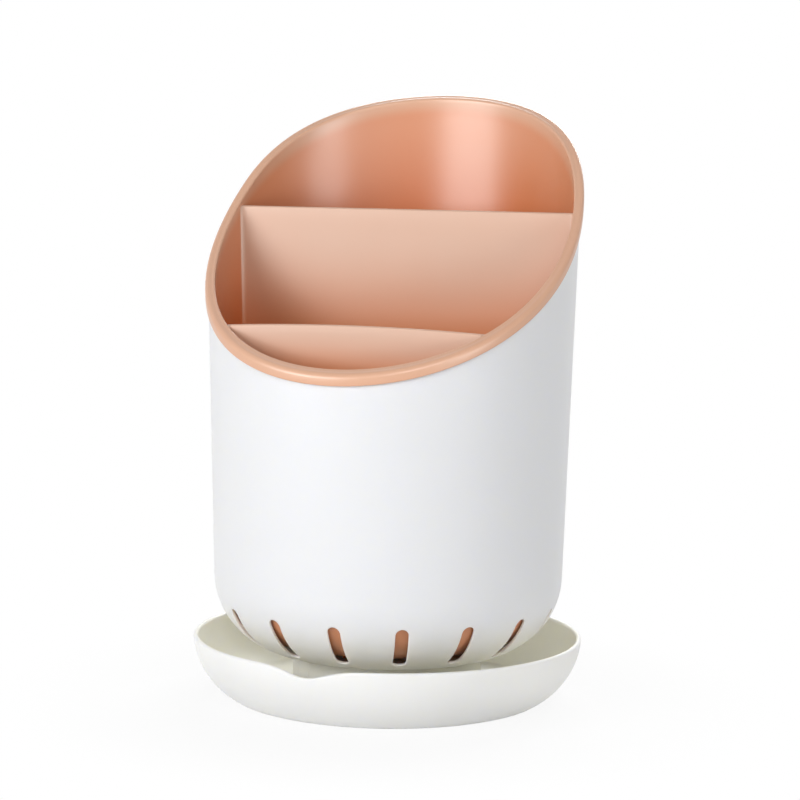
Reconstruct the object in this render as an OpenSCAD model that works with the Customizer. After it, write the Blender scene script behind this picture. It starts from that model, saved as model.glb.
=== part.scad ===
// Slant-topped chopstick and cutlery holder: a drip tray, a drained outer body and a lift-out
// liner with two fixed dividers. The low side of the slant faces -Y, and the tray stands on Z = 0.

/* [Outer body] */
// Radius of the body's wall, carried down to the table level
body_base_r = 54.1; // [46:0.1:64]
// Draft of the walls, in degrees
draft = 1.6; // [0.5:0.1:2.5]
// Wall and floor thickness of the body
body_wall = 1; // [0.8:0.1:2.4]
// Height of the body's underside above the table
body_floor_z = 14.5; // [12:0.1:26]
// Outside radius between the body's wall and its floor
body_corner_r = 25; // [18:0.1:27]
// How far the ring that the body stands on lies inside the foot of the corner
foot_ring_inset = 0.2; // [0:0.1:6]
// Width of that ring
foot_ring_w = 1.6; // [1.2:0.1:2.4]
// Diameter of the drain holes in the body's floor
body_drain_d = 6; // [4:0.1:8]

/* [Drain slots] */
// Number of slots round the body
slot_count = 16; // [8:1:20]
// Width of one slot
slot_w = 4; // [2.5:0.1:5]
// Where a slot starts on the corner, in degrees below the horizontal
slot_start = 20; // [12:0.1:28]
// Where a slot ends on the corner, in degrees below the horizontal
slot_end = 60; // [48:0.1:66]

/* [Slanted rim] */
// Height of the rim where the slant turns from hollow to crowned
turn_z = 162.5; // [130:0.1:190]
// Distance of that turn behind the centre
turn_y = 18.2; // [0:0.1:30]
// Slope at the turn, in degrees
turn_slope = 43.3; // [25:0.1:48]
// Radius of the hollow curve on the low side
hollow_r = 373; // [250:1:900]
// Radius of the crowned curve on the high side
crown_r = 163; // [140:0.5:400]

/* [Liner] */
// Wall and floor thickness of the liner
liner_wall = 0.8; // [0.6:0.1:2]
// Gap between the liner and the body
fit_gap = 0.25; // [0.2:0.05:0.5]
// Height of the liner's underside over the inside of the body
liner_foot_gap = 3; // [1:0.1:8]
// Distance of the rear divider behind the centre
rear_divider_y = 11.7; // [0:0.1:24]
// How far the rear divider stops below the rim
rear_divider_drop = 2.5; // [1:0.1:8]
// Distance of the front divider in front of the centre
front_divider_y = 37; // [24:0.1:42]
// How far the ends of the front divider stop below the rim
front_divider_drop = 0.5; // [0.3:0.1:8]
// Rise of the front divider's arched top edge
front_arch = 1.2; // [0.6:0.1:3]
// Thickness of a divider
divider_t = 1.4; // [1:0.1:3]
// Diameter of the drain holes in the liner's floor
drain_d = 4; // [2.5:0.1:5]
// Spacing of the drain holes
drain_pitch = 12; // [9:0.1:16]

/* [Rolled lip] */
// Thickness of the lip over the body's edge
lip_t = 1.2; // [1:0.05:2]
// Gap between the body and the skirt of the lip
skirt_gap = 0.3; // [0.3:0.05:0.6]
// Thickness of the skirt outside the body
skirt_t = 0.7; // [0.6:0.05:1.6]
// Depth of the skirt
skirt_h = 3.4; // [3:0.1:8]
// Radius of the lip's outer edge
lip_outer_r = 1.2; // [0.8:0.1:1.6]
// Radius of the lip's inner edge
lip_inner_r = 0.9; // [0.6:0.1:1.2]
// How far the bead stands inside the liner's wall
bead_proud = 0.1; // [0.05:0.05:0.5]

/* [Drip tray] */
// Outside radius of the tray at its rim
tray_r = 61.7; // [58:0.1:80]
// Height of the tray
tray_h = 19.6; // [15:0.1:22]
// Wall and floor thickness of the tray
tray_wall = 1.6; // [1.2:0.1:2.6]
// Radius of the curve of the tray's side
tray_side_r = 23.5; // [22.5:0.1:40]
// Lean of the tray's side at its rim, in degrees
tray_lean = 3; // [2:0.5:10]
// Depth of the recess under the tray
tray_recess = 0.8; // [0.5:0.1:1.5]
// Width of the foot round that recess
tray_foot_w = 3.1; // [2:0.1:8]
// Height of the locating ring on the tray's floor
locating_h = 2; // [1:0.1:4]
// Width of that ring
locating_w = 1.4; // [1:0.1:2]
// Radial clearance between the locating ring and the body's ring
locating_gap = 0.5; // [0.3:0.05:0.8]
// Gap left under a face that rests on another piece
rest_gap = 0.3; // [0.1:0.05:0.4]
// Width of the drain notches through both rings
notch_w = 8; // [5:0.1:12]
// Height of the notches in the body's ring
notch_h = 4; // [3:0.1:8]

/* [Pouring lip] */
// Turn of the pouring lip from the front of the tray, in degrees
spout_turn = -5.5; // [-40:0.1:40]
// Radius of the lip in plan
spout_r = 26; // [16:0.5:40]
// How far the lip stands out from the rim
spout_reach = 1.6; // [0.8:0.1:4]
// Depth over which it runs out into the side
spout_h = 12; // [8:0.1:14]
// How far the rim dips at the lip
spout_dip = 2.8; // [0.5:0.1:4]
// Half of the width of that dip
spout_half_w = 15; // [8:0.1:18]

/* [Hidden] */
$fn = 96;
// Long shallow curves use only a small part of their circle
long_arc_fn = 720;
corner_fn = 192;
hole_fn = 32;
// Rings of the swept lip, and steps round each of its edges
lip_rings = 96;
edge_steps = 4;
// A length that reaches past the whole object, the height by which a solid stands past the slant
// before it is cut, and a small overlap between joined solids
reach = 300;
past_top = 10;
overlap = 0.02;
// Share of the ring's radius at which the body's drain holes stand
drain_circle = 0.6;
// Height of the taper at the foot of the lip's inner side
bead_taper = 1.2;
// Share of the lip's thickness by which the liner's own wall stops below the slant
wall_sink = 0.7;

white = [0.95, 0.95, 0.94];
salmon = [0.88, 0.58, 0.46];

// The walls and the slant

// Radius of the body's outer wall at height z
function body_wall_r(z) = body_base_r + z * tan(draft);

// Centre of the rounded corner of a cup whose wall lies `inset` inside the body's outer wall
function corner_z(floor_z, corner_r) = floor_z + corner_r;
function corner_x(inset, floor_z, corner_r) =
    body_wall_r(corner_z(floor_z, corner_r)) - (inset + corner_r) / cos(draft);

// The slant in side view: the centres of its two curves, and its height over any Y
low_centre = [turn_y - hollow_r * sin(turn_slope), turn_z + hollow_r * cos(turn_slope)];
high_centre = [turn_y + crown_r * sin(turn_slope), turn_z - crown_r * cos(turn_slope)];
function slant_z(y) = y < turn_y
    ? low_centre[1] - sqrt(pow(hollow_r, 2) - pow(y - low_centre[0], 2))
    : high_centre[1] + sqrt(pow(crown_r, 2) - pow(y - high_centre[0], 2));
slant_top = slant_z(body_wall_r(turn_z));

foot_ring_r = corner_x(0, body_floor_z, body_corner_r) - foot_ring_inset;

// Everything under the slant, lowered by `drop`
module under_slant(drop = 0) {
    translate([0, 0, -drop]) rotate([90, 0, 90])
        linear_extrude(height = 2 * reach, center = true)
            translate([turn_y, turn_z]) rotate(turn_slope) {
                intersection() {
                    translate([0, -crown_r]) circle(r = crown_r, $fn = long_arc_fn);
                    translate([0, -2 * crown_r]) square([reach, 3 * crown_r]);
                }
                difference() {
                    translate([-reach, -reach]) square([reach, reach + hollow_r / 2]);
                    translate([0, hollow_r]) circle(r = hollow_r, $fn = long_arc_fn);
                }
            }
}

// Solid cup with a drafted wall and a rounded corner
module cup(inset, floor_z, corner_r, top_z) {
    cx = corner_x(inset, floor_z, corner_r);
    cz = corner_z(floor_z, corner_r);
    rotate_extrude()
        union() {
            polygon([[0, floor_z], [cx, floor_z],
                     [cx + corner_r * cos(draft), cz - corner_r * sin(draft)],
                     [body_wall_r(top_z) - inset / cos(draft), top_z], [0, top_z]]);
            intersection() {
                translate([cx, cz]) circle(r = corner_r + overlap, $fn = corner_fn);
                translate([cx - corner_r / 8, floor_z - 1]) square(1.5 * corner_r);
            }
        }
}

// Upright ring from `low` up to `high`
module ring(outer_r, width, low, high) {
    translate([0, 0, low])
        difference() {
            cylinder(h = high - low, r = outer_r);
            translate([0, 0, -1]) cylinder(h = high - low + 2, r = outer_r - width);
        }
}

// Four bars that cut the drain notches, from `low` up to `high`
module notch_bars(low, high) {
    for (turn = [45, 135])
        rotate([0, 0, turn])
            translate([-foot_ring_r - 2, -notch_w / 2, low])
                cube([2 * foot_ring_r + 4, notch_w, high - low]);
}

// Drip tray

tray_floor_z = tray_recess + tray_wall;
tray_arc_x = tray_r - tray_side_r * cos(tray_lean);
tray_arc_z = tray_h + tray_side_r * sin(tray_lean);
locating_r = foot_ring_r - foot_ring_w - locating_gap;
spout_y = tray_r + spout_reach - spout_r;
dip_r = (pow(spout_half_w, 2) + pow(spout_dip, 2)) / (2 * spout_dip);

// Radius of the tray's side at height z, `inset` inside its outer face
function tray_side_x(z, inset) =
    tray_arc_x + sqrt(pow(tray_side_r - inset, 2) - pow(tray_arc_z - z, 2));

// Solid inside the curve of the tray's side, from `low` up to `high`
module tray_dish(inset, low, high) {
    rotate_extrude()
        union() {
            translate([0, low]) square([tray_arc_x + overlap, high - low]);
            intersection() {
                translate([tray_arc_x, tray_arc_z]) circle(r = tray_side_r - inset, $fn = corner_fn);
                translate([tray_arc_x, low]) square([tray_side_r, high - low]);
            }
        }
}

// Cone that bulges the wall out at the pouring lip
module spout_cone(inset, top) {
    run_out = tray_side_x(tray_h - spout_h, inset) - spout_y - 0.2;
    front = spout_r - inset;
    slope = (front - run_out) / spout_h;
    rotate([0, 0, spout_turn])
        translate([0, -spout_y, tray_h - spout_h])
            cylinder(h = spout_h + top, r1 = run_out, r2 = front + slope * top);
}

module drip_tray() {
    color(white)
        union() {
            difference() {
                union() {
                    tray_dish(0, 0, tray_h + 1);
                    spout_cone(0, 1);
                }
                tray_dish(tray_wall, tray_floor_z, tray_h + 2);
                spout_cone(tray_wall, 2);
                translate([-reach / 2, -reach / 2, tray_h]) cube([reach, reach, tray_h]);
                translate([0, 0, -1]) cylinder(h = tray_recess + 1, r = tray_side_x(0, 0) - tray_foot_w);
                rotate([0, 0, spout_turn])
                    translate([0, -spout_y, tray_h - spout_dip + dip_r])
                        rotate([90, 0, 0])
                            cylinder(h = spout_r + 2 * tray_wall, r = dip_r, $fn = long_arc_fn);
            }
            difference() {
                ring(locating_r, locating_w, tray_floor_z - tray_wall / 2, tray_floor_z + locating_h);
                notch_bars(tray_floor_z, tray_floor_z + locating_h + 1);
            }
        }
}

// Outer body

// Slot through the rounded corner, cut along the line from the corner's centre to its middle
slot_mid = (slot_start + slot_end) / 2;
slot_chord = 2 * body_corner_r * sin((slot_end - slot_start) / 2);
slot_depth = body_wall + 4;

module slot_cutter() {
    translate([corner_x(0, body_floor_z, body_corner_r), 0, corner_z(body_floor_z, body_corner_r)])
        rotate([0, 90 + slot_mid, 0])
            translate([0, 0, body_corner_r - slot_depth])
                linear_extrude(height = slot_depth + 2)
                    union() {
                        square([slot_chord - slot_w, slot_w], center = true);
                        for (end = [-1, 1])
                            translate([end * (slot_chord - slot_w) / 2, 0])
                                circle(d = slot_w, $fn = hole_fn);
                    }
}

module outer_body() {
    color(white)
        difference() {
            union() {
                difference() {
                    intersection() {
                        cup(0, body_floor_z, body_corner_r, slant_top + past_top);
                        under_slant(lip_t + rest_gap);
                    }
                    cup(body_wall, body_floor_z + body_wall, body_corner_r - body_wall,
                        slant_top + 2 * past_top);
                }
                ring(foot_ring_r, foot_ring_w, tray_floor_z + rest_gap, body_floor_z + body_wall / 2);
            }
            for (i = [0 : slot_count - 1])
                rotate([0, 0, i * 360 / slot_count - 90]) slot_cutter();
            notch_bars(tray_floor_z, tray_floor_z + notch_h);
            for (i = [0 : 6])
                rotate([0, 0, i * 60])
                    translate([i == 6 ? 0 : foot_ring_r * drain_circle, 0, body_floor_z - 1])
                        cylinder(h = body_wall + 2, d = body_drain_d, $fn = hole_fn);
        }
}

// Inner liner

liner_inset = body_wall + fit_gap;
liner_inside = liner_inset + liner_wall;
liner_floor_z = body_floor_z + body_wall + liner_foot_gap;
liner_inner_floor_z = liner_floor_z + liner_wall;
liner_corner_r = body_corner_r - body_wall - liner_foot_gap;
liner_inner_corner_r = liner_corner_r - liner_wall;

// Section of the lip as [distance outside the body's wall, height over the slant], all round
lip_in = -liner_inside - bead_proud;
lip_out = skirt_gap + skirt_t;
lip_mid_wall = -liner_inset - liner_wall / 2;
function edge(cx, cz, r, from, to) =
    [for (i = [0 : edge_steps]) let (a = from + (to - from) * i / edge_steps)
        [cx + r * cos(a), cz + r * sin(a)]];
skirt_r = skirt_t / 2;
lip_section = concat(
    [[lip_mid_wall, -skirt_h], [lip_in, -skirt_h + bead_taper]],
    edge(lip_in + lip_inner_r, -lip_inner_r, lip_inner_r, 180, 90),
    edge(lip_out - lip_outer_r, -lip_outer_r, lip_outer_r, 90, 0),
    edge(lip_out - skirt_r, skirt_r - skirt_h, skirt_r, 0, -180),
    [[skirt_gap, -lip_t], [lip_mid_wall, -lip_t]]);

// One point of the swept lip: it follows the draft outwards and the slant upwards
function lip_point(a, p) =
    let (r0 = body_wall_r(turn_z) + p[0],
         r1 = body_wall_r(slant_z(r0 * sin(a)) + p[1]) + p[0],
         r2 = body_wall_r(slant_z(r1 * sin(a)) + p[1]) + p[0])
    [r2 * cos(a), r2 * sin(a), slant_z(r2 * sin(a)) + p[1]];

module lip() {
    n = len(lip_section);
    points = [for (k = [0 : lip_rings - 1]) for (p = lip_section) lip_point(k * 360 / lip_rings, p)];
    faces = [for (k = [0 : lip_rings - 1]) for (i = [0 : n - 1])
        let (a = k * n, b = ((k + 1) % lip_rings) * n, j = (i + 1) % n)
            each [[a + i, b + i, b + j], [a + i, b + j, a + j]]];
    polyhedron(points = points, faces = faces);
}

// Upright plate across the liner
module divider(y, top) {
    translate([-reach / 2, y - divider_t / 2, liner_inner_floor_z - liner_wall / 2])
        cube([reach, divider_t, top - liner_inner_floor_z + liner_wall / 2]);
}

front_half_chord = sqrt(pow(body_wall_r(slant_z(-front_divider_y)), 2) - pow(front_divider_y, 2));
front_arch_r = (pow(front_half_chord, 2) + pow(front_arch, 2)) / (2 * front_arch);
rear_top = slant_z(rear_divider_y) - rear_divider_drop;
front_top = slant_z(-front_divider_y) - front_divider_drop + front_arch;

module liner_shell() {
    difference() {
        intersection() {
            cup(liner_inset, liner_floor_z, liner_corner_r, slant_top + past_top);
            under_slant(lip_t * wall_sink);
        }
        cup(liner_inside, liner_inner_floor_z, liner_inner_corner_r, slant_top + 2 * past_top);
    }
}

module dividers() {
    intersection() {
        cup(liner_inset + liner_wall / 2, liner_floor_z + liner_wall / 2,
            liner_corner_r - liner_wall / 2, slant_top);
        union() {
            divider(rear_divider_y, rear_top);
            intersection() {
                divider(-front_divider_y, front_top + 5);
                translate([0, 0, front_top - front_arch_r])
                    rotate([90, 0, 0])
                        cylinder(h = reach, r = front_arch_r, center = true, $fn = long_arc_fn);
            }
        }
    }
}

// Rows of holes through the floor and its rounded corner, clear of the dividers
drain_reach = corner_x(liner_inset, liner_floor_z, liner_corner_r) + liner_corner_r * 0.5;
drain_rows = floor(drain_reach / drain_pitch);
module drain_holes() {
    clear = drain_d / 2 + divider_t;
    for (row = [-drain_rows : drain_rows], column = [-drain_rows : drain_rows]) {
        x = column * drain_pitch;
        y = row * drain_pitch + (rear_divider_y - front_divider_y) / 12;
        if (norm([x, y]) < drain_reach && abs(y - rear_divider_y) > clear
            && abs(y + front_divider_y) > clear)
            translate([x, y, liner_floor_z - 1])
                cylinder(h = liner_corner_r, d = drain_d, $fn = hole_fn);
    }
}

module inner_liner() {
    color(salmon)
        union() {
            difference() {
                union() {
                    liner_shell();
                    dividers();
                }
                drain_holes();
            }
            lip();
        }
}

drip_tray();
outer_body();
inner_liner();
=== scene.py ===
# %% [markdown]
# # A slant-topped chopstick holder
#
# The holder is three injection mouldings: a white drip tray, a white drained body and a pink liner
# that hangs in the body by its rolled lip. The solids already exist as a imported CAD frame. This
# lesson dresses that frame: every moulding is worked out again as one smooth surface, at the CAD
# sizes, and gets a plastic made of shader nodes.

import math

import bpy
import numpy as np
from mathutils import Matrix, Vector


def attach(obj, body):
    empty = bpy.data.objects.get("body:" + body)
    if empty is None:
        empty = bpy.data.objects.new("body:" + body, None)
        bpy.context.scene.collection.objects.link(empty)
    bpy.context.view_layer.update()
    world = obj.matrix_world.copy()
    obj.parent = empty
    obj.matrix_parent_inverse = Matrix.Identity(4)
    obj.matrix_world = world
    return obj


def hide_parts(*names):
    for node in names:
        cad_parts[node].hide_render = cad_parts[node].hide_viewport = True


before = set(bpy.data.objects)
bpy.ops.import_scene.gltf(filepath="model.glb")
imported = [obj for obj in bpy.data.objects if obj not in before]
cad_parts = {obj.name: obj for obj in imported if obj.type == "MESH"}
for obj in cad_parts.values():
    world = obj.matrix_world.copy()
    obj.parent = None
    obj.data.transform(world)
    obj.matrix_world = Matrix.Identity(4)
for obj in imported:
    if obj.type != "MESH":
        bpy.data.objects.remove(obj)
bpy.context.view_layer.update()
MM = 0.001

# %% [markdown]
# ## The camera
#
# The photograph was taken with a long lens from a little above the rim, turned a fifth of a right
# angle round the holder. The camera's place was worked out from the outlines of the rim, the body
# and the tray, which are all circles or cuts of one cone, so they pin it down well. It could be
# placed by eye too, but a long lens hides a wrong distance until the ellipses are compared.

# %% Camera at the photograph's viewing angle
CAMERA_AT = (234.8, -735.0, 176.2)
TURN, TILT, ROLL = 17.5, 6.07, 0.85
FOCAL_PIXELS, IMAGE_PIXELS, SENSOR_MM = 2456, 800, 36


def camera_axes(turn, tilt, roll):
    """Right, up and forward of a camera that looks along +Y turned by `turn` about Z, tilted down
    by `tilt` and rolled clockwise by `roll`, all in degrees."""
    a, p, r = np.radians([turn, tilt, roll])
    right = np.array([np.cos(a), np.sin(a), 0])
    forward = np.array([-np.sin(a) * np.cos(p), np.cos(a) * np.cos(p), -np.sin(p)])
    up = np.cross(right, forward)
    return right * np.cos(r) + up * np.sin(r), up * np.cos(r) - right * np.sin(r), forward


right, up, forward = camera_axes(TURN, TILT, ROLL)
lens = bpy.data.cameras.new("camera")
lens.sensor_width = SENSOR_MM
lens.lens = SENSOR_MM * FOCAL_PIXELS / IMAGE_PIXELS
lens.clip_start, lens.clip_end = 0.05, 20
camera = bpy.data.objects.new("camera", lens)
camera.matrix_world = Matrix.Translation(Vector(CAMERA_AT) * MM) @ Matrix(
    np.column_stack([right, up, -forward]).tolist()
).to_4x4()
bpy.context.scene.collection.objects.link(camera)
bpy.context.scene.camera = camera
print("lens", round(lens.lens, 1), "mm")

# %% [markdown]
# ## From a grid to a mesh
#
# Every surface here is an array of points, rows by columns. `grid_faces` joins neighbours into
# quads, and `make_mesh` welds points that fall on each other, so that a shell built from several
# grids comes out closed and shades smoothly across its joins. It also counts the edges that only
# one face uses: a closed moulding has none, and that one number finds most mistakes. The same
# shapes could be modelled with Spin and Bridge Edge Loops, but the slanted rim and the slots would
# then have to be cut, and cuts shade badly on a polished plastic.

# %% Mesh helpers
def grid_faces(rows, columns, wrap=False):
    """Quads between the neighbours of a rows x columns grid of points, numbered row by row.
    `wrap` joins the last column to the first."""
    i, j = np.meshgrid(np.arange(rows - 1), np.arange(columns - (not wrap)), indexing="ij")
    a, b = i * columns + j, i * columns + (j + 1) % columns
    return np.stack([a, b, b + columns, a + columns], -1).reshape(-1, 4)


def weld(points, faces, within=2e-3):
    """Points that round to the same multiple of `within` millimetres become one. Quads that lose
    a corner become triangles, and those that lose two are dropped."""
    key = np.round(points / within).astype(np.int64)
    _, keep, index = np.unique(key, axis=0, return_index=True, return_inverse=True)
    faces = index.reshape(-1)[faces]
    lost = faces == np.roll(faces, -1, axis=1)
    quads = faces[lost.sum(1) == 0]
    torn, gap = faces[lost.sum(1) == 1], lost[lost.sum(1) == 1].argmax(1)
    order = (gap[:, None] + 1 + np.arange(3)) % 4
    return points[keep], quads, np.take_along_axis(torn, order, 1)


def open_edges(faces):
    """How many edges belong to only one of the faces, given as lists of corners."""
    pairs = [np.stack([f, np.roll(f, -1, axis=1)], -1) for f in faces]
    ends = np.concatenate([pair.reshape(-1, 2) for pair in pairs])
    _, uses = np.unique(np.sort(ends, 1), axis=0, return_counts=True)
    return int((uses == 1).sum())


def make_mesh(name, parts, material, body, replaces=None):
    """One object from several (points, faces) parts in millimetres, welded, smooth, riding on
    `body` and dressed in `material`."""
    grids = [np.reshape(grid, (-1, 3)) for grid, _ in parts]
    starts = np.cumsum([0] + [len(grid) for grid in grids])
    points = np.concatenate(grids)
    faces = np.concatenate([f + start for (_, f), start in zip(parts, starts)])
    points, quads, triangles = weld(points, faces)
    mesh = bpy.data.meshes.new(name)
    mesh.from_pydata(points * MM, [], quads.tolist() + triangles.tolist())
    mesh.polygons.foreach_set("use_smooth", np.ones(len(mesh.polygons), bool))
    mesh.update()
    piece = bpy.data.objects.new(name, mesh)
    bpy.context.scene.collection.objects.link(piece)
    mesh.materials.append(material)
    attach(piece, body)
    if replaces:
        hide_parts(replaces)
    print(name, len(mesh.polygons), "faces,", open_edges([quads, triangles]), "open edges")
    return piece


# %% [markdown]
# ## Writing shader maths as Python
#
# A plastic is mostly three slow patterns: a trace of colour from the flow of the melt, a gloss
# that varies a little over the surface, and a skin that is never quite flat. Each is a noise with
# some arithmetic on it. Nodes can be placed by hand, but a dozen Math nodes are hard to read, so
# `Wire` wraps one socket and lets `1 - grain * 0.2` add its own Math nodes.

# %% A wire that adds nodes
class Wire:
    """One output of a shader tree. Arithmetic on wires adds Math nodes, and `node` adds any
    other node."""

    def __init__(self, tree, socket=None):
        self.tree, self.socket = tree, socket

    def node(self, kind, settings=None, values=None, out=0):
        """A new node of type `kind`: first its settings, then a value or a wire for each input,
        by its name or number. Returns a wire from its output `out`."""
        new = self.tree.nodes.new(kind)
        for name, value in (settings or {}).items():
            setattr(new, name, value)
        for key, value in (values or {}).items():
            if isinstance(value, Wire):
                self.tree.links.new(value.socket, new.inputs[key])
            else:
                new.inputs[key].default_value = value
        return Wire(self.tree, new.outputs[out] if new.outputs else None)

    def math(self, operation, a, b):
        return self.node("ShaderNodeMath", {"operation": operation}, {0: a, 1: b})

    def __add__(self, other):
        return self.math("ADD", self, other)

    def __radd__(self, other):
        return self.math("ADD", other, self)

    def __sub__(self, other):
        return self.math("SUBTRACT", self, other)

    def __rsub__(self, other):
        return self.math("SUBTRACT", other, self)

    def __mul__(self, other):
        return self.math("MULTIPLY", self, other)

    def __rmul__(self, other):
        return self.math("MULTIPLY", other, self)


def empty_tree(owner):
    """Switches `owner` to nodes, removes the ones it comes with and returns a wire on its tree."""
    owner.use_nodes = True
    owner.node_tree.nodes.clear()
    return Wire(owner.node_tree)


print("a wire takes +, - and *, with wires and with numbers")

# %% [markdown]
# ## The sizes they share
#
# The walls are cones with a slight draft, so that the mouldings let go of their moulds. The rim is
# one curve seen from the side: hollow in front, crowned at the back. Everything that follows the
# rim is worked out from that one curve, so the lip, the wall under it and the liner inside can't
# drift apart. The angles at which a wall is sampled are shared by the body and the liner too. The
# tray's side is an arc of a circle whose centre lies in the air above the tray's floor.

# %% Sizes of the walls and the slant, in millimetres
DRAFT = math.radians(1.6)
BASE_R, BODY_WALL, FLOOR_Z, CORNER_R = 54.1, 1.0, 14.5, 25
FIT_GAP, LINER_WALL, LINER_FOOT_GAP = 0.25, 0.8, 3
LINER_INSET = BODY_WALL + FIT_GAP
LINER_INSIDE = LINER_INSET + LINER_WALL
LINER_FLOOR_Z = FLOOR_Z + BODY_WALL + LINER_FOOT_GAP
LINER_CORNER_R = CORNER_R - BODY_WALL - LINER_FOOT_GAP
LIP_T, REST_GAP = 1.2, 0.3
TURN_Y, TURN_Z, TURN_SLOPE = 18.2, 162.5, math.radians(43.3)
HOLLOW_R, CROWN_R = 373, 163
SLOTS, CELL_STEPS = 16, 24
FIRST_TURN = -math.pi * (1 / 2 + 1 / SLOTS)
TRAY_R, TRAY_H, TRAY_WALL, SIDE_R, LEAN = 61.7, 19.6, 1.6, 23.5, math.radians(3)
SIDE_CENTRE = TRAY_R - SIDE_R * math.cos(LEAN), TRAY_H + SIDE_R * math.sin(LEAN)
around = FIRST_TURN + np.linspace(0, 2 * np.pi, SLOTS * CELL_STEPS, endpoint=False)


def wall_r(z):
    """Radius of the body's outer wall at height z: the base radius plus the draft."""
    return BASE_R + z * np.tan(DRAFT)


def slant(y):
    """Height of the rim over y: a circle of HOLLOW_R below the turn and one of CROWN_R above it,
    with the same slope where they meet."""
    low_y = TURN_Y - HOLLOW_R * math.sin(TURN_SLOPE)
    low_z = TURN_Z + HOLLOW_R * math.cos(TURN_SLOPE)
    high_y = TURN_Y + CROWN_R * math.sin(TURN_SLOPE)
    high_z = TURN_Z - CROWN_R * math.cos(TURN_SLOPE)
    low = low_z - np.sqrt(HOLLOW_R**2 - (np.minimum(y, TURN_Y) - low_y) ** 2)
    high = high_z + np.sqrt(CROWN_R**2 - (np.maximum(y, TURN_Y) - high_y) ** 2)
    return np.where(y < TURN_Y, low, high)


print("rim from", *np.round(slant(np.array([-57.3, 59.4])), 1), "mm high")

# %% [markdown]
# ## The plastics
#
# The body and the tray are white polypropylene, the liner is the same plastic in salmon pink. They
# have a satin skin: smooth enough for soft highlights, with a fine grain from the mould and a slow
# waviness where the wall shrank. The whole surface could be one colour with one roughness, but
# then it looks computed. Here the colour moves between two near tones, mostly as painted light and
# shade with slow streaks on top, roughness follows a middle noise, and the bump adds a coarse wave
# to a fine grain. The white also lets light a few millimetres into the wall, which softens the
# edges of its slots. All patterns read Object coordinates, so they stay put when the pieces are
# lifted apart.

# %% Moulded plastic
COARSE, MIDDLE, FINE = 45, 120, 1400
GLOSS_DRIFT = 0.06


def noise(wire, scale, detail, stretch=(1, 1, 1)):
    """Noise of `scale` lumps per metre over the object, squeezed by `stretch`."""
    place = wire.node("ShaderNodeTexCoord", out="Object")
    place = wire.node("ShaderNodeMapping", values={"Vector": place, "Scale": stretch})
    return wire.node(
        "ShaderNodeTexNoise", values={"Vector": place, "Scale": scale, "Detail": detail}
    )


def moulded_plastic(name, deep, light, tone, roughness, shine, wave, grain, glow=0.0):
    """A satin plastic: colour = mix(deep, light, tone), roughness = base + a share of the middle
    noise, skin height = wave * coarse noise + grain * fine noise, in metres. `glow` is how much of
    the light goes a few millimetres into the wall before it comes back."""
    material = bpy.data.materials.new(name)
    wire = empty_tree(material)
    tones = {0: tone(wire), 6: (*deep, 1), 7: (*light, 1)}
    colour = wire.node("ShaderNodeMix", {"data_type": "RGBA"}, tones, out=2)
    gloss = roughness - GLOSS_DRIFT / 2 + GLOSS_DRIFT * noise(wire, MIDDLE, 2)
    skin = wave * noise(wire, COARSE, 1) + grain * noise(wire, FINE, 2)
    normal = wire.node("ShaderNodeBump", values={"Strength": 1, "Distance": 1, "Height": skin})
    shader = wire.node(
        "ShaderNodeBsdfPrincipled",
        values={
            "Base Color": colour,
            "Roughness": gloss,
            "Normal": normal,
            "IOR": 1.49,
            "Specular IOR Level": shine,
            "Subsurface Weight": glow,
            "Subsurface Radius": (1, 0.93, 0.7),
            "Subsurface Scale": 0.004,
        },
    )
    wire.node("ShaderNodeOutputMaterial", values={"Surface": shader})
    print(name, len(material.node_tree.nodes), "nodes")
    return material


print("noises of", COARSE, MIDDLE, FINE, "lumps per metre")

# %% [markdown]
# ## Tones that follow the shape
#
# A pink cup isn't one pink. Light that falls in is thrown from wall to wall and takes on more of
# the pigment each time, so the lip and the upper edges of the dividers are the palest and the
# depth is the reddest. The renderer works out some of that by itself, but the photo shows more of
# it, so the plastic helps with two colours of its own: painted light near the rim and painted
# shade in the depth. The white parts get painted light as well: they turn lighter and a little
# creamy where shade falls, under the body's corner and inside the tray. Each tone is a number
# from 0 to 1, a few lines of arithmetic on the place in the object, so it needs no painted
# picture and stays sharp at any size.

# %% Measures that the tones read
STREAKS, STREAK_DRAW = 28, (1, 1, 0.45)


def flow_marks(wire):
    """Slow upright streaks, from the melt that rose in the mould."""
    return noise(wire, STREAKS, 3, STREAK_DRAW)


def ramp(wire, value, start, end, low, high):
    """`low` where value is under `start`, `high` over `end`, and a smooth step between them."""
    return wire.node(
        "ShaderNodeMapRange",
        {"interpolation_type": "SMOOTHSTEP"},
        {"Value": value, "From Min": start, "From Max": end, "To Min": low, "To Max": high},
    )


def place_of(wire, which="Object"):
    """The three parts of the object coordinates, or of the normal, as wires."""
    whole = wire.node("ShaderNodeTexCoord", out=which)
    split = wire.node("ShaderNodeSeparateXYZ", values={0: whole}).socket.node
    return [Wire(wire.tree, split.outputs[axis]) for axis in "XYZ"]


def length(a, b):
    """sqrt(a^2 + b^2) of two wires."""
    return a.math("SQRT", a * a + b * b, 0.0)


rim_y = np.linspace(-60, 60, 61)
RIM = np.polyfit(rim_y * MM, slant(rim_y) * MM, 3)


def depth_of(wire):
    """How far a point lies below the slant, in metres, and its y. The slant's height over y is the
    cubic a + y (b + y (c + y d))."""
    _, y, z = place_of(wire)
    return RIM[3] + y * (RIM[2] + y * (RIM[1] + y * RIM[0])) - z, y


misfit = np.abs(np.polyval(RIM, rim_y * MM) / MM - slant(rim_y)).max()
print("the cubic follows the rim to", round(float(misfit), 1), "mm")

# %% [markdown]
# The liner's outside gets no light from the other walls, so it stays half way between the two
# tones. A cup's outer face is the one whose normal points away from the axis. The tray's two faces
# are told apart by their distance from the centre of the side's arc. Each fade has a start and an
# end, in metres. On a divider both are a fixed depth plus a share of y.

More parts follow.
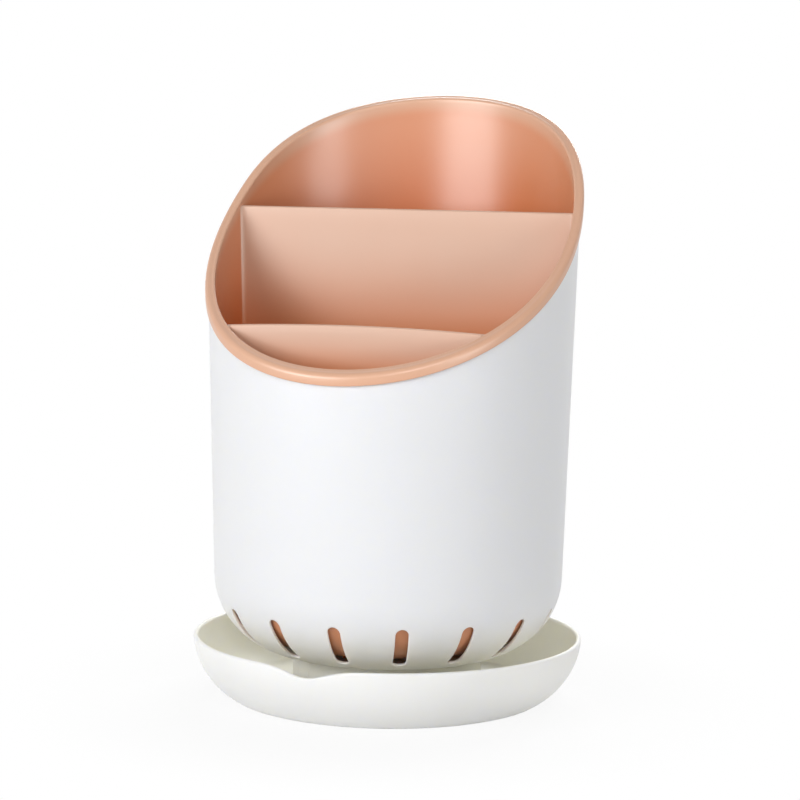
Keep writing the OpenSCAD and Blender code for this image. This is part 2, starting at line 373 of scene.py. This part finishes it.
# %% Tones
LIP_FADE, WALL_FADE = (0.0012, 0.006), (0.004, 0.05)
CORNER_FADE, SIGN_FADE = (0.016, 0.034), 0.008
PLATE_START, PLATE_END = (0.009, 0.25), (0.046, 0.75)
TRAY_FADE = ((SIDE_R - 1.3) * MM, (SIDE_R - 0.3) * MM)


def outer_face(wire):
    """1 where a cup's face looks away from its inside, and 0 where it looks in: the normal times
    the way from the axis, less a share of the normal's rise."""
    x, y, _ = place_of(wire)
    across, along, rise = place_of(wire, "Normal")
    away = x * across + y * along - 0.03 * rise
    return ramp(wire, away, -SIGN_FADE, SIGN_FADE, 0.0, 1.0)


# Painted light on the lip and painted shade deep inside the liner.
def below_rim(wire):
    """1 on the lip, about half just under it and nearly 0 from 50 mm down inside, with a little of
    the flow marks on top. The outer face stays half way."""
    depth, _ = depth_of(wire)
    near = ramp(wire, depth, *LIP_FADE, 0.5, 0.0) + ramp(wire, depth, *WALL_FADE, 0.5, 0.03)
    near = near + 0.5 * outer_face(wire) * (1 - near)
    return near * (0.9 + 0.2 * flow_marks(wire))


# Painted light along the dividers' upper edges and painted shade lower down.
def below_edge(wire):
    """The same for the dividers: 1 along their upper edges and nearly 0 from 18 mm down in front,
    or from 55 mm down at the back, where the slant lets in more light."""
    depth, y = depth_of(wire)
    start, end = (fixed + share * y for fixed, share in (PLATE_START, PLATE_END))
    return ramp(wire, depth, start, end, 1.0, 0.03) * (0.9 + 0.2 * flow_marks(wire))


# Painted light: the body's white turns lighter and creamier under its corner, where shade falls.
def painted_corner_light(wire):
    """1 on the underside of the body's corner and 0 above the slots, with flow marks on top."""
    height = place_of(wire)[2]
    return ramp(wire, height, *CORNER_FADE, 1.0, 0.0) * 0.9 + 0.1 * flow_marks(wire)


# Painted light: the tray's white turns lighter and creamier on its inner face, where shade falls.
def painted_tray_light(wire):
    """1 on the tray's inner face and 0 on its outer one, with flow marks on top."""
    x, y, z = place_of(wire)
    beside = wire.math("MAXIMUM", length(x, y) - SIDE_CENTRE[0] * MM, 0.0)
    away = length(beside, SIDE_CENTRE[1] * MM - z)
    return ramp(wire, away, *TRAY_FADE, 0.9, 0.0) + 0.1 * flow_marks(wire)


print("tones: below_rim, below_edge, drained, painted_tray_light")

# %% [markdown]
# Four plastics come out of it: the body's white, the tray's white with more cream in it, which is
# painted light on its inner face, the liner's pink with a clear gloss, and a paler pink for the
# dividers, painted light for thin plates lit from both sides, and a little duller, because the
# flat plates were polished less. The first colour shows where the tone is 0, and the second where
# it is 1.

# %% The four plastics
# The body's white: the second tone is painted light, lighter and creamier under its corner.
white = moulded_plastic(
    "white_satin", (0.85, 0.85, 0.84), (0.91, 0.898, 0.82), painted_corner_light,
    roughness=0.42, shine=0.28, wave=2.5e-5, grain=1.2e-6, glow=0.5,
)
# The tray's white: the second tone is painted light, lighter and creamier on its inner face.
tray_white = moulded_plastic(
    "tray_satin", (0.85, 0.85, 0.835), (0.96, 0.945, 0.83), painted_tray_light,
    roughness=0.42, shine=0.25, wave=2.5e-5, grain=1.2e-6, glow=0.5,
)
# The liner's pink: painted light on the lip and painted shade deep inside.
salmon = moulded_plastic(
    "salmon_gloss", (0.61, 0.14, 0.02), (0.66, 0.37, 0.235), below_rim,
    roughness=0.33, shine=0.95, wave=3e-5, grain=0.8e-6,
)
# The dividers' pink: paler than the liner's as painted light, with painted shade lower down.
salmon_plate = moulded_plastic(
    "salmon_plate", (0.65, 0.19, 0.045), (0.64, 0.41, 0.30), below_edge,
    roughness=0.36, shine=0.5, wave=3e-5, grain=0.8e-6,
)

# %% [markdown]
# ## Rows of points
#
# A point on the rim sits on a wall that leans out with height, at a height that depends on where
# the wall is. Solving that by hand is awkward, but going round the two formulas four times settles
# it to a thousandth of a millimetre.

# %% Rows of points round the walls
def on_slant(section, t=around):
    """Rows of points that follow the rim, one row for each (out, over) of `section`: `out` outside
    the body's wall and `over` above the slant."""
    out, over = np.asarray(section, float).T[:, :, None]
    r = wall_r(TURN_Z) + out + 0 * t
    for _ in range(4):
        r = wall_r(slant(r * np.sin(t)) + over) + out
    return np.stack([r * np.cos(t), r * np.sin(t), slant(r * np.sin(t)) + over], -1)


def revolve(profile, t=around):
    """Rows of points from a profile of (r, z) points, one circle each."""
    r, z = np.asarray(profile, float).T[:, :, None]
    return np.stack([r * np.cos(t), r * np.sin(t), z + 0 * t], -1)


def wall_rows(inset, z_low, top, rows):
    """Rows that fan out evenly on a wall `inset` inside the body's outer face, from the height
    z_low up to the row of points `top`, both left out."""
    share = np.linspace(0, 1, rows + 2)[1:-1, None]
    z = z_low + share * (top[:, 2] - z_low)
    r = wall_r(z) - inset / math.cos(DRAFT)
    return np.stack([r * np.cos(around), r * np.sin(around), z], -1)


def corner_centre(inset, floor_z, radius):
    """Centre (r, z) of the rounded corner between a cup's wall and its floor."""
    z = floor_z + radius
    return wall_r(z) - (inset + radius) / math.cos(DRAFT), z


def round_edge(radius, angles):
    """How far in and how far back a rounded edge lies at each of its angles, in degrees from the
    face: radius * (1 - cos, 1 - sin)."""
    return [(radius * (1 - math.cos(b)), radius * (1 - math.sin(b))) for b in np.radians(angles)]


def arc(cx, cz, radius, start, end, steps):
    """Points on an arc: centre + radius * (cos, sin) of the angle from start to end degrees."""
    a = np.radians(np.linspace(start, end, steps))
    return np.stack([cx + radius * np.cos(a), cz + radius * np.sin(a)], -1)


def corner_arc(inset, floor_z, radius, start, end, steps):
    """Profile of a cup's corner from `start` to `end` degrees below the horizontal."""
    cx, cz = corner_centre(inset, floor_z, radius)
    return arc(cx, cz, radius, -start, -end, steps)


BODY_DRAFT = math.degrees(DRAFT)
print("corner centre of the body", *np.round(corner_centre(0, FLOOR_Z, CORNER_R), 2))

# %% [markdown]
# ## The drain slots
#
# Sixteen round-ended slots are wrapped across the body's rounded corner, and light falls through
# them. A Boolean would cut them in one line, but it leaves long thin faces beside each slot, and
# they show as creases in a glossy corner. So the corner is divided into sixteen cells, and each
# cell is a set of rings that change from the cell's four-sided outline into the slot's outline.
# The same rings go on through the wall, over two small rounded edges, and back out on the inner
# face. SPREAD holds the rings' shares of the slot's outline.

# %% One cell of the corner with its slot
SLOT_W, SLOT_START, SLOT_END = 4.0, math.radians(20), math.radians(60)
CELL_LOW, CELL_HIGH = math.radians(8), math.radians(74)
SLOT_EDGE = 0.3
SPREAD = [0, 0.25, 0.5, 0.75, 0.92, 1]


def slot_outline(grow):
    """Points (across, along) round a slot that is grown by `grow`: a quarter circle over the top, a
    side, a quarter circle under the foot and the other side, in CELL_STEPS equal steps each."""
    h = SLOT_W / 2 + grow
    reach = CORNER_R * math.sin((SLOT_END - SLOT_START) / 2) - SLOT_W / 2
    over = np.radians(np.linspace(135, 45, CELL_STEPS + 1)[:-1])
    top = np.stack([h * np.cos(over), -reach - h * np.sin(over)], -1)
    bend = h * math.pi / 4
    walk = np.linspace(0, 2 * bend + 2 * reach, CELL_STEPS + 1)[:-1]
    turn = math.pi / 4 - np.minimum(walk, bend) / h - np.maximum(walk - bend - 2 * reach, 0) / h
    straight = np.clip(walk - bend, 0, 2 * reach) - reach
    side = np.stack([h * np.cos(turn), straight - h * np.sin(turn)], -1)
    return np.concatenate([top, side, -top, -side])


def cell_outline():
    """Angles (round, below the horizontal) along a cell's four sides, in the slot's order."""
    s = np.linspace(0, 1, CELL_STEPS + 1)[:-1]
    half, span = math.pi / SLOTS, CELL_HIGH - CELL_LOW
    top = np.stack([half * (2 * s - 1), CELL_LOW + 0 * s], -1)
    side = np.stack([half + 0 * s, CELL_LOW + span * s], -1)
    foot = np.stack([half * (1 - 2 * s), CELL_HIGH + 0 * s], -1)
    back = np.stack([-half + 0 * s, CELL_HIGH - span * s], -1)
    return np.concatenate([top, side, foot, back])


def slot_cell(turn):
    """(points, faces) of the cell at angle `turn`. A ring is mix(cell, slot, share), laid on the
    corner's torus `depth` under its skin."""
    r0, z0 = corner_centre(0, FLOOR_Z, CORNER_R)

    def ring(depth, grow, share):
        across, along = slot_outline(grow).T
        below = (SLOT_START + SLOT_END) / 2 + np.arcsin(along / (CORNER_R - depth))
        beside = np.arcsin(across / (r0 + (CORNER_R - depth) * np.cos(below)))
        where = cell_outline() * (1 - share) + np.stack([beside, below], -1) * share
        beside, below = where.T
        r = r0 + (CORNER_R - depth) * np.cos(below)
        z = z0 - (CORNER_R - depth) * np.sin(below)
        return np.stack([r * np.cos(beside + turn), r * np.sin(beside + turn), z], -1)

    bend = round_edge(SLOT_EDGE, [30, 60, 90])
    rings = [ring(0, SLOT_EDGE, share) for share in SPREAD]
    rings += [ring(deep, grow, 1) for deep, grow in bend]
    rings += [ring(BODY_WALL - deep, grow, 1) for deep, grow in bend[::-1]]
    rings += [ring(BODY_WALL, SLOT_EDGE, share) for share in SPREAD[::-1]]
    return np.array(rings), grid_faces(len(rings), 4 * CELL_STEPS, wrap=True)[:, ::-1]


slot_cells = [slot_cell(2 * math.pi * k / SLOTS - math.pi / 2) for k in range(SLOTS)]
print(SLOTS, "cells of", len(slot_cells[0][1]), "faces")

# %% [markdown]
# ## The outer body
#
# The canister is one shell: up the outside, over its slanted edge and down the inside to the
# floor. It could be a plain lathe shape with its top cut off, but the edge would then be a row of
# uneven triangles. Here each row of points fans out from the corner to the slanted edge, so the
# edge is a row of the grid itself.

# %% Body shell
def cup_wall(inset, floor_z, radius, end, top, rows=26):
    """Rows of a cup's wall and corner, from the row of points `top` down to `end` degrees below
    the horizontal."""
    bend = corner_arc(inset, floor_z, radius, BODY_DRAFT, end, max(4, round(end / 3)))
    return np.concatenate([wall_rows(inset, bend[0, 1], top, rows)[::-1], revolve(bend)])


def cup_floor(inset, floor_z, radius, start):
    """Rows of a cup's corner and floor, from `start` degrees below the horizontal to the middle."""
    bend = corner_arc(inset, floor_z, radius, start, 90, max(4, round((90 - start) / 3)))
    hub = np.linspace(bend[-1, 0], 0, 7)[1:]
    return revolve(np.concatenate([bend, np.stack([hub, 0 * hub + floor_z], -1)]))


def skin(rows, inward=False):
    """(points, faces) of rows that run down or inwards, with faces that look out, or in."""
    faces = grid_faces(*rows.shape[:2], wrap=True)
    return rows, faces if inward else faces[:, ::-1]


EDGE_R, EDGE_STEPS = 0.3, 5
edge_z = -LIP_T - REST_GAP - EDGE_R
outer_edge = arc(-EDGE_R, edge_z, EDGE_R, 0, 90, EDGE_STEPS)
inner_edge = arc(EDGE_R - BODY_WALL, edge_z, EDGE_R, 90, 180, EDGE_STEPS)
edge = on_slant(np.concatenate([outer_edge, inner_edge]))
crest = EDGE_STEPS - 1
low, high = math.degrees(CELL_LOW), math.degrees(CELL_HIGH)
outer = (0, FLOOR_Z, CORNER_R)
inner = (BODY_WALL, FLOOR_Z + BODY_WALL, CORNER_R - BODY_WALL)
body_parts = [
    skin(np.concatenate([edge[crest::-1], cup_wall(*outer, low, edge[0])])),
    skin(cup_floor(*outer, high)),
    skin(np.concatenate([edge[crest:], cup_wall(*inner, low, edge[-1])]), inward=True),
    skin(cup_floor(*inner, high), inward=True),
    *slot_cells,
]
body_shell = make_mesh("body_shell", body_parts, white, "body", "outer_body")

# %% [markdown]
# ## Round holes
#
# The floors are drilled with drain holes. They lie deep inside, on surfaces that are flat or
# nearly so, where a cut doesn't show in the shading. That makes the Boolean modifier the short way
# here: one mesh of plugs cuts them all. The result is baked into the piece, and edges sharper than
# 40 degrees are marked so that the floor stays flat right up to each hole.

# %% Drill a piece
SHARP = math.radians(40)


def drill(piece, centres, diameter, low, high, sides=32):
    """Cuts round holes at the (x, y) `centres` between two heights. A plug is two circles joined
    by quads and closed by a cap at each end."""
    a = np.linspace(0, 2 * np.pi, sides, endpoint=False)
    circle = diameter / 2 * np.stack([np.cos(a), np.sin(a)], -1)
    flat = np.asarray(centres, float)[:, None, None, :] + circle[None, None]
    flat = np.repeat(flat, 2, axis=1)
    height = np.broadcast_to(np.array([low, high])[None, :, None, None], (*flat.shape[:3], 1))
    points = np.concatenate([flat, height], -1).reshape(-1, 3)
    side = grid_faces(2, sides, wrap=True)
    caps = [list(range(sides))[::-1], list(range(sides, 2 * sides))]
    faces = []
    for start in range(0, len(points), 2 * sides):
        faces += (side + start).tolist() + [[start + i for i in cap] for cap in caps]
    plugs = bpy.data.meshes.new("plugs")
    plugs.from_pydata(points * MM, [], faces)
    tool = bpy.data.objects.new("plugs", plugs)
    bpy.context.scene.collection.objects.link(tool)
    cut = piece.modifiers.new("drill", "BOOLEAN")
    cut.operation, cut.solver, cut.object = "DIFFERENCE", "EXACT", tool
    seen = piece.evaluated_get(bpy.context.evaluated_depsgraph_get())
    mesh = bpy.data.meshes.new_from_object(seen)
    piece.modifiers.clear()
    piece.data = mesh
    mesh.set_sharp_from_angle(angle=SHARP)
    bpy.data.objects.remove(tool)
    print(piece.name, len(centres), "holes,", len(mesh.polygons), "faces")


FOOT_INSET, BODY_DRAIN_D, PAST = 0.2, 6, 1
FOOT_R = corner_centre(*outer)[0] - FOOT_INSET
DRAIN_CIRCLE = 0.6 * FOOT_R
sixths = np.radians(np.arange(6) * 60)
drains = DRAIN_CIRCLE * np.stack([np.cos(sixths), np.sin(sixths)], -1)
drains = np.concatenate([[[0, 0]], drains])
drill(body_shell, drains, BODY_DRAIN_D, FLOOR_Z - PAST, FLOOR_Z + BODY_WALL + PAST)

# %% [markdown]
# ## The rings underneath
#
# The body stands on a ring, and a lower ring on the tray's floor keeps it in the middle. Four
# notches let the water past. Both are the same shape, a ring whose free edge steps back inside the
# notches, so one function makes them. The notches are parallel-sided, so their angle depends on
# the radius: the angles are worked out for each circle of the ring by itself.

# %% Notched rings
NOTCH_W, NOTCH_STEPS, RIM_STEPS = 8, 9, 40


def notched_turns(r):
    """Angles round a circle of radius r with four notches: a stretch of rim and a stretch of notch
    for each quarter, with two points at each of a notch's sides. Also says which points are cut."""
    half = math.asin(NOTCH_W / 2 / r)
    notch = np.linspace(-half, half, NOTCH_STEPS)
    quarter = np.concatenate([notch, np.linspace(half, math.pi / 2 - half, RIM_STEPS)])
    turns = np.concatenate([quarter + math.radians(45 + 90 * k) for k in range(4)])
    return turns, np.tile(np.arange(len(quarter)) < NOTCH_STEPS, 4)


def notched_ring(name, outer_r, width, root, free, cut, material, body, edge_r=0.3):
    """A ring from the height `root` to `free`, or only to `cut` inside the notches. Its section is
    a closed loop with two rounded corners at the free edge."""
    way = np.sign(free - root)
    inner_r = outer_r - width
    bend = round_edge(edge_r, [0, 30, 60, 90])
    rows = [(outer_r, None)]
    rows += [(outer_r - step, back) for step, back in bend]
    rows += [(inner_r + step, back) for step, back in bend[::-1]]
    rows += [(inner_r, None), (outer_r, None)]
    grid = []
    for r, back in rows:
        turns, notch = notched_turns(r)
        end = np.where(notch, cut, free)
        z = np.full(len(turns), float(root)) if back is None else end - way * back
        grid.append(np.stack([r * np.cos(turns), r * np.sin(turns), z], -1))
    grid = np.array(grid)
    faces = grid_faces(*grid.shape[:2], wrap=True)
    parts = [(grid, faces if way > 0 else faces[:, ::-1])]
    return make_mesh(name, parts, material, body)


TRAY_FLOOR, BODY_NOTCH_H, TRAY_NOTCH_H = 2.4, 4, 0.4
RING_W, RING_GAP, LOCATING_W, LOCATING_H = 1.6, 0.5, 1.4, 2
notched_ring(
    "body_foot", FOOT_R, RING_W, FLOOR_Z + BODY_WALL / 2, TRAY_FLOOR + REST_GAP,
    TRAY_FLOOR + BODY_NOTCH_H, white, "body",
)
notched_ring(
    "locating_ring", FOOT_R - RING_W - RING_GAP, LOCATING_W, TRAY_FLOOR - TRAY_WALL / 2,
    TRAY_FLOOR + LOCATING_H, TRAY_FLOOR - TRAY_NOTCH_H, tray_white, "tray",
)

# %% [markdown]
# ## The liner and its rolled lip
#
# The liner hangs in the body by its lip. The lip is the one part that the hand and the eye meet
# first: a bead inside, a narrow valley, then a roll over the white edge that ends in a short skirt
# with a rounded foot. It could be a tube along the rim with the wall pushed into it, but then a
# dark line shows where the two cross. Here the section of the lip is part of the wall's own
# profile, and the whole liner is a single grid from the middle of its underside to the middle of
# its floor.

# %% Liner
SKIRT_GAP, SKIRT_T, SKIRT_H, BEAD = 0.3, 0.7, 3.4, 0.1
LIP_IN, LIP_OUT = -LINER_INSIDE - BEAD, SKIRT_GAP + SKIRT_T
BEAD_R, ROLL_R, SKIRT_R = 0.55, 1.2, SKIRT_T / 2
VALLEY, VALLEY_SHARES = 0.12, np.array([0.3, 1, 0.8])
TAPER_FROM, TAPER_TO = 1.3, 2.2
EASE, EASE_MID = 0.2, 0.06

# Small corners start EASE away from the sharp corner, and their middle is EASE_MID off it.
under_lip = [
    [-LINER_INSET, -LIP_T - EASE],
    [-LINER_INSET + EASE_MID, -LIP_T - EASE_MID],
    [-LINER_INSET + EASE, -LIP_T],
    [SKIRT_GAP - EASE, -LIP_T],
    [SKIRT_GAP - EASE_MID, -LIP_T - EASE_MID],
    [SKIRT_GAP, -LIP_T - EASE],
]
valley_at = np.array([0.25, 0.5, 0.75])[:, None]
valley = (1 - valley_at) * [LIP_OUT - ROLL_R, 0] + valley_at * [LIP_IN + BEAD_R, 0]
valley[:, 1] = -VALLEY * VALLEY_SHARES
lip_section = np.concatenate(
    [
        under_lip,
        arc(LIP_OUT - SKIRT_R, SKIRT_R - SKIRT_H, SKIRT_R, -180, 0, 11),
        arc(LIP_OUT - ROLL_R, -ROLL_R, ROLL_R, 0, 90, 12),
        valley,
        arc(LIP_IN + BEAD_R, -BEAD_R, BEAD_R, 90, 180, 9),
        [[LIP_IN, -TAPER_FROM], [-LINER_INSIDE, -TAPER_TO]],
    ]
)
lip = on_slant(lip_section)
BAY_FLOOR_Z = LINER_FLOOR_Z + LINER_WALL
outside = (LINER_INSET, LINER_FLOOR_Z, LINER_CORNER_R)
inside = (LINER_INSIDE, BAY_FLOOR_Z, LINER_CORNER_R - LINER_WALL)
SPLIT = 45
liner_rows = np.concatenate(
    [
        cup_floor(*outside, SPLIT)[::-1],
        cup_wall(*outside, SPLIT, lip[0])[::-1][1:],
        lip,
        cup_wall(*inside, SPLIT, lip[-1]),
        cup_floor(*inside, SPLIT)[1:],
    ]
)
liner_shell = make_mesh(
    "liner_shell", [skin(liner_rows, inward=True)], salmon, "liner", "inner_liner"
)

# %% [markdown]
# ## The dividers
#
# Two plates split the liner into three bays. They are moulded with it, so they meet its wall in a
# soft corner, and their top edges are rounded. The rear one is straight along the top, the front
# one is slightly arched. A plate and a fillet could be separate pieces, but the joint would show.
# Here the plate's half thickness simply grows near the wall and the floor, as a quarter circle
# does. The plate's ends and foot sink a little into the liner, so that no gap shows.

# %% Dividers
DIVIDER_T, FILLET_R = 1.4, 1.0
REAR_Y, REAR_TOP, FRONT_Y, FRONT_TOP, FRONT_ARCH = 11.7, 154.0, -37, 120.2, 1.2
SINK, FOOT_SINK, ARCH_H, FILLET_H, PLAIN_H = 0.35, 0.2, 20, 1.3, 3


def liner_inner_r(z):
    """Radius of the liner's inner face at height z, on its wall or its rounded corner."""
    r0, z0 = corner_centre(*inside)
    radius = inside[2]
    corner = r0 + np.sqrt(np.maximum(radius**2 - np.minimum(z - z0, 0) ** 2, 0))
    wall = wall_r(z) - LINER_INSIDE / math.cos(DRAFT)
    return np.where(z < z0 - radius * math.sin(DRAFT), corner, wall)


def half_width(z, y):
    """Half of a plate's width at a height and a y: out to the liner's wall and a little into it."""
    return np.sqrt(np.maximum(liner_inner_r(z) ** 2 - y**2, 1)) + SINK


def flare(distance):
    """How far a fillet stands out at this distance from the corner: R - sqrt(R^2 - (R - d)^2)."""
    near = np.clip(FILLET_R - distance, 0, FILLET_R)
    return FILLET_R - np.sqrt(FILLET_R**2 - near**2)


def divider(name, y0, top, arch):
    """A plate across the liner at y0. Rows go up one side, over a half round top edge and down the
    other side, and columns go across, close together at the walls. `arch` is the drop of the top
    edge from its middle to its ends."""
    h = DIVIDER_T / 2
    fillet_z = BAY_FLOOR_Z - FOOT_SINK + np.linspace(0, FILLET_H, 7)
    up = np.concatenate([fillet_z, np.linspace(BAY_FLOOR_Z + PLAIN_H, top - h, 40)])
    over = np.radians(np.linspace(0, 180, 13))[1:-1]
    side = np.concatenate([up * 0 + 1, np.cos(over), up * 0 - 1])[:, None]
    z = np.concatenate([up, top - h + h * np.sin(over), up[::-1]])[:, None]
    s = np.sin(np.linspace(-1, 1, 81) * math.pi / 2)[None, :]
    half = half_width(z, y0)
    y = y0 + side * (h + flare(half - SINK - np.abs(half * s)) + flare(z - BAY_FLOOR_Z))
    half = half_width(z, y)
    arched = z - arch * np.clip((z - top + ARCH_H) / ARCH_H, 0, 1) * s**2
    grid = np.stack([half * s, y, arched], -1)
    rows, columns = grid.shape[:2]
    i = np.arange(rows // 2)[:, None]
    cap = np.concatenate([i, i + 1, rows - 2 - i, rows - 1 - i], 1) * columns
    parts = [
        (grid, grid_faces(rows, columns)[:, ::-1]),
        (grid, cap),
        (grid, cap[:, ::-1] + columns - 1),
        (grid[[-1, 0]], grid_faces(2, columns)[:, ::-1]),
    ]
    return make_mesh(name, parts, salmon_plate, "liner")


divider("rear_divider", REAR_Y, REAR_TOP, 0)
divider("front_divider", FRONT_Y, FRONT_TOP, FRONT_ARCH)

# %% [markdown]
# The liner's floor is drilled on a square pattern. It is moved a little to the front, so that its
# rows keep clear of the two dividers, and holes that would still touch one are left out.

# %% Drain holes in the liner
DRAIN_PITCH, DRAIN_D, DRAIN_SHIFT = 12, 4, (REAR_Y + FRONT_Y) / 12
reach = corner_centre(*outside)[0] + LINER_CORNER_R / 2
steps = np.arange(-3, 4) * DRAIN_PITCH
x, y = np.meshgrid(steps, steps + DRAIN_SHIFT)
clear = DRAIN_D / 2 + DIVIDER_T
use = (np.hypot(x, y) < reach) & (np.abs(y - REAR_Y) > clear) & (np.abs(y - FRONT_Y) > clear)
centres, below = np.stack([x[use], y[use]], -1), LINER_FLOOR_Z - PAST
drill(liner_shell, centres, DRAIN_D, below, below + LINER_CORNER_R)

# %% [markdown]
# ## The drip tray
#
# The tray is a shallow dish with a curved side and a thin round rim. On one side the rim is drawn
# out and down into a small pouring lip. On the real tray the lip was cut into the mould as a cone.
# Here the lathe-turned dish is pushed instead: outwards by a share of the height, and down only
# near the rim, both under a bell curve round the lip. That keeps the wall's thickness and leaves
# no seam. The small corners of the foot are eased like those under the liner's lip.

# %% Tray
TRAY_RECESS, TRAY_FOOT_W, RIM_R = 0.8, 3.1, TRAY_WALL / 2
SPOUT_TURN, SPOUT_REACH, SPOUT_DIP, SPOUT_HALF_W = math.radians(-5.5), 0.22, 2.8, 8.5
RECESS_EASE, FLOOR_EASE, SIDE_FROM, HAIR = 0.3, 0.4, 0.3, 0.02


def tray_side(z, depth):
    """Radius of the tray's side at height z, `depth` inside its outer face."""
    return SIDE_CENTRE[0] + np.sqrt((SIDE_R - depth) ** 2 - (SIDE_CENTRE[1] - z) ** 2)


def spout_push(rows):
    """Moves points under a bell curve exp(-(arc / half width)^2): out by reach * height^1.5 and
    down by dip * height^4, with the height as a share of the tray's."""
    x, y, z = np.moveaxis(rows, -1, 0)
    bell = np.exp(-(((np.arctan2(x, -y) - SPOUT_TURN) * TRAY_R / SPOUT_HALF_W) ** 2))
    height = np.clip(z / TRAY_H, 0, 1)
    out = 1 + SPOUT_REACH / TRAY_R * bell * height**1.5
    return np.stack([x * out, y * out, z - SPOUT_DIP * bell * height**4], -1)


rise = np.linspace(0, 1, 40)
foot_r, rim_z = tray_side(0, 0), TRAY_H - RIM_R
recess_r = foot_r - TRAY_FOOT_W
up_z = rise * (rim_z - SIDE_FROM) + SIDE_FROM
down_z = TRAY_FLOOR + HAIR + rise[::-1] * (rim_z - TRAY_FLOOR - HAIR)
hub = np.linspace(0, recess_r - RECESS_EASE, 7)
floor_hub = np.linspace(tray_side(TRAY_FLOOR, TRAY_WALL) - FLOOR_EASE, 0, 9)
tray_profile = np.concatenate(
    [
        np.stack([hub, 0 * hub + TRAY_RECESS], -1),
        [[recess_r - EASE_MID, TRAY_RECESS - EASE_MID], [recess_r, TRAY_RECESS - RECESS_EASE]],
        [[recess_r, EASE], [recess_r + EASE_MID, EASE_MID], [recess_r + EASE, 0]],
        [[foot_r - FLOOR_EASE, 0]],
        np.stack([tray_side(up_z, 0), up_z], -1),
        arc(tray_side(rim_z, RIM_R), rim_z, RIM_R, 0, 180, 13)[1:-1],
        np.stack([tray_side(down_z, TRAY_WALL), down_z], -1),
        np.stack([floor_hub, 0 * floor_hub + TRAY_FLOOR], -1),
    ]
)
make_mesh(
    "tray_shell", [skin(spout_push(revolve(tray_profile)), inward=True)],
    tray_white, "tray", "drip_tray",
)

# %% [markdown]
# ## Floor and backdrop
#
# The photograph is a cut-out on pure white with the faintest shadow. Brightening the lamps until
# the floor is white would burn out the white plastic first. So the camera, and the gloss of the
# plastic, see a floor and a world that are white by emission, and only close to the tray does some
# of the lit floor come through, with the shadow on it.

# %% White floor
def seen_ray(wire):
    """1 for rays from the camera and for mirrored or refracted rays, 0 for the light that lamps and
    surfaces give each other."""
    seen, glossy, through = (
        wire.node("ShaderNodeLightPath", out=name)
        for name in ("Is Camera Ray", "Is Glossy Ray", "Is Transmission Ray")
    )
    return wire.math("MINIMUM", seen + glossy + through, 1.0)


FLOOR_HALF = 4
FADE_FROM, FADE_TO, NEAR_WHITE = 0.064, 0.13, 0.9
signs = [(-1, -1), (1, -1), (1, 1), (-1, 1)]
corners = [(FLOOR_HALF * x, FLOOR_HALF * y, 0) for x, y in signs]
floor_mesh = bpy.data.meshes.new("floor")
floor_mesh.from_pydata(corners, [], [(0, 1, 2, 3)])
floor = bpy.data.objects.new("floor", floor_mesh)
bpy.context.scene.collection.objects.link(floor)
floor_paint = bpy.data.materials.new("floor_paint")
wire = empty_tree(floor_paint)
place = wire.node("ShaderNodeTexCoord", out="Object")
away = wire.node("ShaderNodeVectorMath", {"operation": "LENGTH"}, {0: place}, out="Value")
far = ramp(wire, away, FADE_FROM, FADE_TO, NEAR_WHITE, 1.0)
lit = wire.node(
    "ShaderNodeBsdfPrincipled", values={"Base Color": (0.82, 0.82, 0.82, 1), "Roughness": 0.9}
)
bright = wire.node("ShaderNodeEmission", values={"Color": (1, 1, 1, 1), "Strength": 1})
mixed = wire.node("ShaderNodeMixShader", values={0: seen_ray(wire) * far, 1: lit, 2: bright})
wire.node("ShaderNodeOutputMaterial", values={"Surface": mixed})
floor_mesh.materials.append(floor_paint)
print("floor", 2 * FLOOR_HALF, "m wide")

# %% [markdown]
# The world is white to the eye too, but as a lamp it gives only a tenth of that, an even light that
# opens the shadows a little.

# %% World
WORLD_LIGHT = 0.1
world = bpy.data.worlds.new("world")
bpy.context.scene.world = world
wire = empty_tree(world)
strength = WORLD_LIGHT + (1 - WORLD_LIGHT) * seen_ray(wire)
sky = wire.node("ShaderNodeBackground", values={"Color": (1, 1, 1, 1), "Strength": strength})
wire.node("ShaderNodeOutputWorld", values={"Surface": sky})
print("world light", WORLD_LIGHT)

# %% [markdown]
# ## The lamps
#
# The highlights tell where the lamps stood. A curved wall mirrors a lamp where its normal halves
# the angle between lamp and camera, and the liner's back wall shows a broad streak right of the
# middle, while the body is brightest left of its middle. Both ask for one large soft box in front
# at the left. A second one stands high in front at the right: it lights the dividers and the tray,
# and it is too high to be mirrored in the upright back wall. A small low one at the right
# brightens the tray's side and the body's right edge, and one above and behind lights the inside
# of the tray and the back. Their powers were found by rendering each lamp alone, solving for the
# shares that came closest to the photo, and trimming those.

# %% Soft boxes
def soft_box(name, heading, distance, height, size, power, aim=0.09):
    """A rectangular lamp `distance` metres away in the direction `heading`, in degrees from +X, at
    `height`, turned to face the holder at the height `aim`. Its size is in metres, its power in
    watts."""
    light = bpy.data.lights.new(name, "AREA")
    light.shape = "RECTANGLE"
    light.size, light.size_y = size
    light.energy = power
    lamp = bpy.data.objects.new(name, light)
    turn = math.radians(heading)
    at = Vector((distance * math.cos(turn), distance * math.sin(turn), height))
    aimed = (Vector((0, 0, aim)) - at).to_track_quat("-Z", "Y")
    lamp.matrix_world = Matrix.Translation(at) @ aimed.to_matrix().to_4x4()
    bpy.context.scene.collection.objects.link(lamp)
    print(name, power, "W")


soft_box("key", -124, 1.3, 0.42, (0.95, 0.7), 13)
soft_box("front", -62, 1.3, 0.8, (0.9, 0.5), 6.2)
soft_box("low_right", -28, 1.2, 0.12, (0.5, 0.24), 3)
soft_box("behind", 90, 1.0, 0.75, (0.9, 0.4), 12)
bpy.context.scene.view_settings.view_transform = "Standard"
